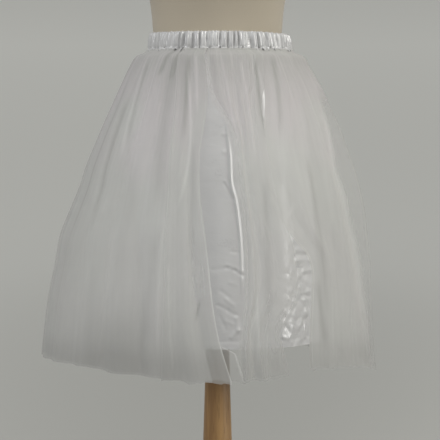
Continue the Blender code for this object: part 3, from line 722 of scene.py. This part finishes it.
panels = [  # in the order of the solids, which seeds their waves
    {"node": "tulle_front_left", "left": straightEdge(-90), "right": leftInnerEdge,
     "gathers": 11, "layers": (1, 0), "calm": (0, 15), "lowDense": 0.2, "shade": 0.05,
     "full": 1.6,  # more net to each centimetre than in the others
     "folds": folds(
         (22, 90, -28, -29, -31, 4.5, -1.5, 0.1, 1),
         (22, 85, -36, -37.5, -39, 3.5, -1.5, 0.05, 0.8),
         (34, 240, -57, -51.5, -47, 4, 3, 0.16, -0.3), (40, 210, -54, -50.5, -46, 4.4, -3, 0, 0.5),
         (34, 330, -42, -38, -33, 11, 6, 0.1, 0), (36, 330, -31, -27.5, -22.5, 11, -5, 0.1, 0.45),
         (120, 190, -34, -32.5, -31, 3, 2, 0.14, 0), (200, 570, -34.5, -31.5, -36, 15, 7, 0.12, 0),
         (250, 460, -61, -54, -49, 5, 3, 0.12, 0), (90, 350, -64, -60.5, -57.5, 4.4, 3, 0.12, 0),
         (100, 360, -61, -57.5, -54.5, 5, -3, 0, 0.5),
         (330, 580, -23, -24, -26.5, 9, -3.6, 0.05, 0.3),
         (330, 575, -40, -40.7, -42.5, 4, 3, 0.08, 0), (40, 560, -78, -74, -72, 6, 5, 0.1, 0),
         (60, 400, -70, -68, -66.5, 4, -3, 0, 0.5),
         (300, 580, -20, -20.3, -18.5, 2.6, 2, 0.2, -0.2),
         (400, 580, -48, -47, -46, 6, -2, 0, 0.1))},
    {"node": "tulle_front_fold", "left": foldLeftEdge,
     "right": foldRightEdge, "gathers": 3, "layers": (1.3, 1.6), "calm": (0, 0), "waves": 0.35,
     "lowDense": 0.2,  # more net lies behind itself by the hem
     # its right edge gets a painted highlight
     "edgeDense": 0.36, "edgeHighlight": 0.9,
     "corner": 4.5,  # degrees that the inner ply reaches further right by the hem
     "cornerFrom": (0.528, 0.01), "cutShare": 0.72, "full": 1.15, "shade": 0.17,
     "folds": folds(
         (36, 320, -22, -12.6, -16.4, 2.6, 2, 0.26, -0.5),
         (36, 150, -14.6, -12, -10, 2.6, 2, 0.22, -0.4),
         (40, 200, -19.5, -17, -15.5, 4, -2, 0, 0.7),
         (380, 582, -16.9, -15.6, -13.6, 2, 1.6, 0.26, -0.2),
         (240, 480, -12, -10, -8.6, 3, 1.8, 0.1, 0), (398, 432, -8.4, -7, -5.3, 2.6, 1.2, 0.24, 0),
         (410, 446, -7.4, -6.4, -6.9, 2.6, 1.2, 0.2, 0),
         (450, 488, -5.6, -6.2, -6.9, 2.6, -1.2, 0, 0.8),
         (180, 420, -10.8, -9.6, -8.2, 5, -2, 0, 0.4))},
    {"node": "tulle_front_centre", "left": centreLeftEdge,
     "right": centreRightEdge, "gathers": 6, "layers": (1, 1), "calm": (0, 4), "waves": 0.7,
     "edgeDense": 0.05, "full": 1.3, "shade": 0.13,
     "leftBend": 2.5,  # its folds hang straight and are cut off by the curved left edge
     "tucked": 0.0022,  # that edge goes in under the folded panel, near the band
     "tuckedUntil": (0.11, 0.04), "tuckedAngles": (4, 3),
     "feather": 6.0,  # degrees over which its left edge thins out
     "folds": folds(
         (36, 210, 2, 6, 9, 2.4, 2, 0.2, -0.3), (36, 180, 8, 11.5, 13.5, 2.4, 2, 0.2, 0),
         (36, 240, 14, 15.5, 16, 2.6, 2, 0.16, -0.3), (36, 160, 20, 19.5, 19, 2.4, 2, 0.16, 0),
         (44, 200, 25, 22, 22.5, 3.6, -3, 0, 0.8), (430, 582, 14.6, 14.3, 14, 2.2, 2, 0.2, -0.3),
         (500, 582, 17.8, 17.5, 17.2, 2, 1.6, 0.22, 0),
         (440, 570, 8.4, 8.2, 8, 2.2, 1.6, 0.18, -0.2), (240, 520, 19, 18.6, 18, 6, -3, 0, 0.5),
         (200, 500, 12, 12, 11.5, 7, 3, 0.06, 0))},
    {"node": "tulle_front_right", "left": rightInnerEdge,
     "right": straightEdge(90), "gathers": 9, "layers": (0, 1), "calm": (5, 0),
     "full": 1.9, "shade": 0.11,
     "folds": folds(
         (36, 220, 48, 39, 31, 6, 4, 0.12, 0), (36, 200, 40, 34, 28, 5, -3, 0.06, 0.5),
         (290, 420, 31, 29.6, 29.4, 2.2, 2, 0.24, 0), (420, 550, 40.5, 42, 43.5, 6, -2, 0, 0.5),
         (300, 580, 48, 50, 52, 6, 4, 0.08, 0), (200, 500, 42, 43, 45, 5, -3, 0, 0.4),
         (60, 360, 58, 52, 50, 5, 3, 0.1, 0), (36, 300, 72, 67, 64, 4, 3, 0.08, 0),
         (480, 590, 62, 63, 64, 4, 3, 0.08, 0))},
    {"node": "tulle_back_right", "left": straightEdge(90),
     "right": straightEdge(182), "gathers": 12, "layers": (1, 1), "calm": (0, 4),
     "folds": folds(
         (36, 260, 112, 110, 109, 3.4, 3, 0.14, 0), (40, 420, 124, 121, 119, 9, 5, 0.1, 0),
         (60, 380, 131, 129, 128, 4, -3, 0, 0.5), (36, 300, 144, 141.5, 140, 3, 2.6, 0.16, 0),
         (240, 580, 150, 151, 153, 10, 6, 0.1, 0), (300, 580, 138, 137, 135, 5, -4, 0, 0.7),
         (36, 220, 160, 161, 161.5, 3, 2.6, 0.16, 0), (80, 500, 170, 169, 168, 6, 4, 0.08, 0),
         (330, 580, 104, 105, 107, 6, 4, 0.08, 0))},
    {"node": "tulle_back_left", "left": straightEdge(178),
     "right": straightEdge(270), "gathers": 12, "layers": (0, 1), "calm": (4, 0),
     "folds": folds(
         (36, 280, 196, 198, 199, 3.2, 3, 0.16, 0), (50, 460, 206, 208, 211, 10, 6, 0.1, 0),
         (40, 340, 216, 218, 219.5, 4, -3, 0, 0.6), (36, 240, 226, 229, 231, 3, 2.6, 0.16, 0),
         (260, 580, 224, 223, 221, 9, 6, 0.08, 0), (100, 420, 238, 240, 241, 5, 3.4, 0.1, 0),
         (320, 580, 246, 247, 249, 6, -4, 0, 0.7), (36, 300, 256, 257, 258, 3.4, 3, 0.12, 0),
         (360, 580, 186, 187, 189, 6, 4, 0.08, 0))},
]
plies = [  # offset is at the band and at the hem, along the cloth's normal
    {"suffix": "Outer", "offset": (0.0006, 0.002), "fineGathers": 3, "seed": 0.0, "hem": 0.0,
     "foldShare": 1.0},
    {"suffix": "Inner", "offset": (-0.0008, -0.0045), "fineGathers": 4, "seed": 11.0,
     "hem": -0.003, "foldShare": 0.5},
]


def pieceName(panel, ply):
    first, *others = panel["node"].split("_")
    return first + "".join(word.title() for word in others) + ply["suffix"]


def edgeAngles(panel, depth):
    return [readTable(panel[side], "depth", "angle", depth) for side in ("left", "right")]


def panelAngle(panel, across, depth):
    # folds run straight down from the band, and bend only near a curved free edge
    usualLeft, usualRight = panel["left"]["angle"].mean(), panel["right"]["angle"].mean()
    left, right = edgeAngles(panel, depth)
    span = usualRight - usualLeft
    power = max(1.0, min(2.5, span / tulle["edgeReach"]))
    return (usualLeft + across * span
            + (left - usualLeft) * (1.0 - across) ** panel.get("leftBend", power)
            + (right - usualRight) * across**power)


def fineGathers(panel, ply, across, run):
    # narrow crests that start at the band, each as long and as tall as it happens to be
    count = panel["gathers"] * ply["fineGathers"]
    seed = ply["seed"] + len(panel["node"])
    turn = count * across + 0.8 * ripple(across, seed, (3, 7, 11))
    crest = ((1.0 + np.cos(2 * np.pi * turn)) / 2) ** 2
    tall = 0.55 + 0.45 * ripple(across, seed + 2, (5, 9, 16))
    reach = 0.3 + 0.16 * ripple(across, seed + 4, (4, 7, 13))
    grown = mix(0.35, 1.0, smoothStep(run / 0.03))
    ended = smoothStep(run / np.maximum(reach, 0.12))
    return np.maximum(tall, 0.15) * crest * grown * (1.0 - ended)


def plyShape(panel, ply, seed, across, down):
    top = bandHeight + tulle["seamGap"] + tulle["wall"] / 2
    bandWidth, bandDepth = formHalfSizes(bandTop - top)
    run = down**1.35  # rows lie closer together near the band
    hemAngle = panelAngle(panel, across, np.full_like(across, tulle["length"]))
    hem = (readTable(hemLine, "angle", "depth", hemAngle)
           + tulle["hemRipple"] * ripple(across, seed + 3) + ply["hem"]
           + tulle["hemFray"] * ripple(across, seed + ply["seed"], (7, 11, 13)))
    depth = mix(top - tulle["tuck"], hem, run)
    stray = tulle["gatherDrift"] * ripple(across, seed) * np.sin(np.pi * across)
    degrees = panelAngle(panel, across + stray, depth)
    if "corner" in panel and ply["suffix"] == "Inner":
        degrees += panel["corner"] * across**2 * below(depth, *panel["cornerFrom"])
    angle = np.radians(degrees)

    small = mix(tulle["gatherTop"], tulle["gather"], smoothStep(run / 0.05))
    small = small * (1.0 - below(run, *tulle["gathersUntil"]))
    broad = mix(tulle["waveTop"], tulle["waveHem"], run**0.8)
    left, right = edgeAngles(panel, depth)
    fromLeft, fromRight = across * (right - left), (1.0 - across) * (right - left)
    calm = mix(tulle["edgeCalm"], panel.get("waves", 1.0), smoothStep(
        np.minimum(fromLeft - panel["calm"][0], fromRight - panel["calm"][1])
        / tulle["calmRamp"]))
    varied = 1.0 + tulle["waveUnevenness"] * ripple(across, seed + 6)
    broadWaves = max(1, round(panel["gathers"] / 2))
    # towards the sides the folds lie flatter, so that they don't hide behind each other
    soon, least = tulle["flatness"]
    flatter = np.clip(soon * np.abs(np.cos(angle)) / np.maximum(np.abs(np.sin(angle)), 0.1),
                      least, 1.0)
    wave = flatter * calm * varied * (
        small * np.cos(2 * np.pi * panel["gathers"] * across)
        + broad * np.cos(2 * np.pi * (broadWaves * across + 0.12 * seed)))

    sprung = smoothStep(run / tulle["spring"])
    lowerShare = smoothStep(1.5 * run)
    step = mix(tulle["layerTop"], tulle["layerHem"], np.maximum(0.5 * sprung, lowerShare))
    layer = mix(*panel["layers"], smoothStep(across))
    inside = small + 0.6 * broad + step * lowerShare
    halfWidth, halfDepth = (
        mix(atBand + tulle["standOff"], reach - inside, sprung)
        for atBand, reach in zip((bandWidth, bandDepth), reachHalfSizes(tulleReach, depth, angle)))
    perDegree = metresPerDegree(angle, halfWidth, halfDepth)

    dense, tone, relief = np.zeros((3, len(run)))
    for row, near in traceLines(panel["folds"], angle, depth, perDegree):
        relief += (ply["foldShare"] * tulle["foldHeight"] * row["height"] * near
                   * smoothStep(run / 0.06))
        dense += ply["foldShare"] * tulle["foldDense"] * row["dense"] * near
        # painted shade along the drawn folds' troughs, and painted highlight along some of their
        # crests
        tone += tulle["foldTone"] * row["tone"] * near
    fine = fineGathers(panel, ply, across, run)
    relief = flatter * (relief + tulle["fineHeight"] * fine * mix(0.4, 1.0, sprung))
    if "tucked" in panel:
        relief -= (panel["tucked"] * (1.0 - below(depth, *panel["tuckedUntil"]))
                   * (1.0 - below(fromLeft, *panel["tuckedAngles"])))
    out = (wave + 0.6 * broad * (1.0 - flatter) * sprung + layer * step + relief
           + looseness(angle) * (1.0 - sprung) + mix(*ply["offset"], run))
    girth = (halfWidth + halfDepth) / (halfWidth + halfDepth).max()
    feather = smoothStep((fromLeft + 0.6) / panel["feather"]) if "feather" in panel else 1.0
    return {"points": ovalPoints(angle, halfWidth, halfDepth, out, bandTop - depth),
            "normals": ovalNormal(angle, halfWidth, halfDepth),
            "run": run, "depth": depth, "degrees": degrees, "angle": angle, "fine": fine,
            "foldDense": dense, "foldTone": tone, "feather": feather,
            "fullness": panel.get("full", 1.0) * (1.0 / girth) ** 1.2,
            "edges": [peak(apart * perDegree, tulle["edgeWidth"])
                      for apart in (fromLeft, fromRight)]}


def plyPaintedShading(panel, made):
    # painted shade: how much darker the net is painted than its own white where shade falls, by
    # the hem, where no satin lies behind it, near the band, at the left and between the gathers,
    # or lighter, a painted highlight, when below nothing
    depth, run, degrees = made["depth"], made["run"], made["degrees"]
    middle, reach = tulle["hemShadeAngles"]
    tone = made["foldTone"] + panel.get("shade", 0.0)
    # painted highlight along the folded panel's right edge
    tone -= panel.get("edgeHighlight", 0.0) * made["edges"][1] * below(depth, *tulle["edgeFrom"])
    tone += tulle["hemShade"] * below(depth, *tulle["lowFrom"]) * (
        0.25 + 0.65 * peak(degrees - middle, reach))
    tone += tulle["belowShade"] * below(depth, *tulle["belowFrom"])
    tone += tulle["topShade"] * (1.0 - smoothStep(run / tulle["topUntil"]))
    first, reach = tulle["leftAngles"]
    tone += (tulle["leftShade"] * smoothStep((first - degrees) / reach)
             * below(depth, *tulle["leftFrom"]))
    tone += (tulle["gatherShade"] * smoothStep(1.0 - 1.6 * made["fine"])
             * (1.0 - smoothStep(run / tulle["gatherShadeUntil"])))
    return np.clip(tone, -1.0, 1.0)


def plyDensity(panel, made, slant):
    # the share of light that the net stops; slant is 1 where it faces outwards
    depth, angle = made["depth"], made["angle"]
    low = below(depth, *tulle["lowFrom"])
    dense = made["foldDense"] + tulle["fineDense"] * made["fine"]
    dense += panel.get("edgeDense", tulle["edgeDense"]) * sum(made["edges"]) * made["feather"]
    dense += panel.get("lowDense", 0.0) * low
    # at the right side the net thins out past a line
    beyond = np.abs(np.sin(angle)) - np.sin(np.radians(
        readTable(veilEdge, "depth", "angle", depth)))
    atRight = np.sin(angle) > 0
    veil = atRight * smoothStep(beyond / 0.03) * below(depth, *tulle["veilFrom"])
    dense += (atRight * tulle["veilLine"] * peak(beyond + 0.006, 0.01)
              * below(depth, *tulle["veilLineFrom"]))
    thin = tulle["backThin"] * low * smoothStep(-np.cos(angle) / 0.3)
    sheer = 1.0 - (1.0 - tulle["sheerness"]) ** (made["fullness"] / slant)
    return (np.clip(sheer + dense, 0.0, tulle["densest"]) * (1.0 - tulle["veilThin"] * veil)
            * (1.0 - thin) * made["feather"])


def softenShading(mesh, outward, down):
    # light that scatters in the net evens out the folds, so normals lean to the bell's own
    facing = np.empty(len(mesh.vertices) * 3)
    mesh.vertex_normals.foreach_get("vector", facing)
    facing = facing.reshape(-1, 3)
    tilt = mix(*tulle["tilt"], smoothStep(down * 1.2))
    leaning = mix(facing, np.column_stack([outward, tilt]), tulle["evenness"])
    mesh.normals_split_custom_set_from_vertices(
        leaning / np.linalg.norm(leaning, axis=1, keepdims=True))
    return facing[:, :2]


def setAttribute(mesh, name, values):
    layer = mesh.attributes.new(name, "FLOAT", "POINT")
    layer.data.foreach_set("value", values.astype(np.float32))


def makePly(panel, ply, seed):
    columns = panel["gathers"] * tulle["columnsPerGather"]["front" in panel["node"]]
    shape, across, down = gridShape(columns, tulle["rows"])
    made = plyShape(panel, ply, seed, across, down)
    setPlaces(shape, made["points"])
    hemPoints = made["points"][down > 0.999, :2][np.argsort(across[down > 0.999])]
    hemWidth = float(np.linalg.norm(np.diff(hemPoints, axis=0), axis=1).sum())
    length = tulle["length"] - bandHeight
    layUv(shape, across, down, hemWidth, length)
    piece = makePiece(pieceName(panel, ply), shape, tulleNet, panel["node"])
    piece.visible_shadow = False  # net passes on most of the light that it stops
    mesh = piece.data
    facing = softenShading(mesh, made["normals"], down)
    # a net looks denser where it slants away, because more threads lie behind each other
    slant = np.clip(np.abs((facing * made["normals"]).sum(axis=1)), tulle["leastSlant"], 1.0)
    setAttribute(mesh, "netDensity", plyDensity(panel, made, slant))
    # the net's painted shade and painted highlight
    setAttribute(mesh, "netTone", plyPaintedShading(panel, made))
    round(panel.get("cutShare", tulle["cutShare"]) * hemWidth * length, 4)
    ("satinUnderskirtFront" if "front" in panel["node"]
                       else "satinUnderskirtBack")
    return hemWidth


for seed, panel in enumerate(panels):
    for ply in plies:
        print(pieceName(panel, ply), "hem %.3f m" % makePly(panel, ply, seed))
print("tulle made")

# the studio: a pale floor that curves up into a wall, which casts no shadows and is hidden from
# diffuse light
studio = {
    "sides": 96,
    "floorRadius": 8.0,
    "curveRadius": 2.5,
    "wallTop": 6.0,
    # painted light and shade: the paint is darker near the stand and lightens with the distance
    # and up the wall
    "near": (0.394, 0.394, 0.368),  # the paint lightens with the distance and up the wall
    "far": (0.985, 0.99, 0.93),
    "daylight": (0.05, 0.47),  # from below and from above
    "lamps": {  # place, height that it aims at, width and height, power and colour
        "window": ((2.8, -1.1, 2.6), 0.8, (1.3, 1.3), 54.0, (1.0, 0.985, 0.94)),
        "roomLight": ((-2.7, -1.7, 2.8), 0.9, (1.8, 1.8), 48.0, (0.97, 0.98, 1.0)),
        "frontLight": ((0.5, -3.4, 2.4), 0.8, (2.2, 2.2), 22.0, (1.0, 0.99, 0.97)),
        "paneLight": ((2.9, -1.0, 1.3), 0.75, (0.35, 1.8), 34.0, (1.0, 0.99, 0.97)),
    },
}


def makeStudio():
    flat, curve = studio["floorRadius"], studio["curveRadius"]
    profile = [(0.0, 0.0), (0.0, 2.0), (0.0, 5.0)]
    profile += [(curve * (1.0 - math.cos(turn)), flat + curve * math.sin(turn))
                for turn in (math.radians(9 * i) for i in range(11))]
    profile.append((studio["wallTop"], flat + curve))
    shape = spunShape(profile, studio["sides"], 0.0001)
    finish = Finish("studioPaint", {"Roughness": 0.95, "Specular IOR Level": 0.1})
    away = finish.add("ShaderNodeVectorMath", {"operation": "LENGTH"},
                      {0: finish.place("Object", (3.0, 1.0, 1.0))}, output="Value")
    height = finish.axis("Object", "Z")
    # painted light and shade on the backdrop, darker near the stand and lighter far off and up the
    # wall
    finish.feed("Base Color", finish.blend(0.67 * away.smooth(-1.2, 9.0) + 0.16 * height * height,
                                           studio["near"], studio["far"]))
    floor = addShape("studioFloor", shape, finish.material)
    floor.visible_diffuse = False  # the daylight comes through it from all round
    floor.visible_shadow = False


def addLamp(name, place, aimHeight, size, power, colour):
    light = bpy.data.lights.new(name, "AREA")
    light.shape = "RECTANGLE"
    light.size, light.size_y = size
    light.energy = power
    light.color = colour
    lamp = addObject(name, light)
    lamp.location = place
    toward = np.array((0.0, 0.0, aimHeight)) - np.array(place)
    lamp.rotation_mode = "XYZ"
    lamp.rotation_euler = (math.acos(-toward[2] / np.linalg.norm(toward)), 0.0,
                           math.atan2(toward[1], toward[0]) - math.pi / 2)
    lamp.visible_camera = False
    return lamp


def makeLight():
    world = bpy.data.worlds.new("daylight")
    sky = Graph(world, "Background")
    toward = sky.add("ShaderNodeSeparateXYZ", {},
                     {0: sky.add("ShaderNodeTexCoord", output="Generated")}, output="Z")
    low, high = studio["daylight"]
    sky.feed("Color", (1.0, 1.0, 1.0, 1.0))
    sky.feed("Strength", low + (high - low) * toward.smooth(-0.5, 0.3))
    bpy.context.scene.world = world
    lamps = {name: addLamp(name, *lamp) for name, lamp in studio["lamps"].items()}
    lamps["paneLight"].visible_diffuse = False  # only for the shine of the satin


makeStudio()
makeLight()

# the camera stands 3 m in front, a little above the hips, and looks slightly down
camera = {"place": (0.0045, -3.0, 0.88), "down": 3.5, "lens": 137.95, "film": 36.0}


def makeCamera():
    lens = bpy.data.cameras.new("camera")
    lens.lens = camera["lens"]
    lens.sensor_width = camera["film"]
    eye = addObject("camera", lens)
    eye.location = camera["place"]
    eye.rotation_euler = (math.radians(90.0 - camera["down"]), 0.0, 0.0)
    bpy.context.scene.camera = eye


makeCamera()
scene = bpy.context.scene
scene.view_settings.view_transform = "Standard"
scene.cycles.transparent_max_bounces = 96  # the eye looks through many plies of net
print("studio made")
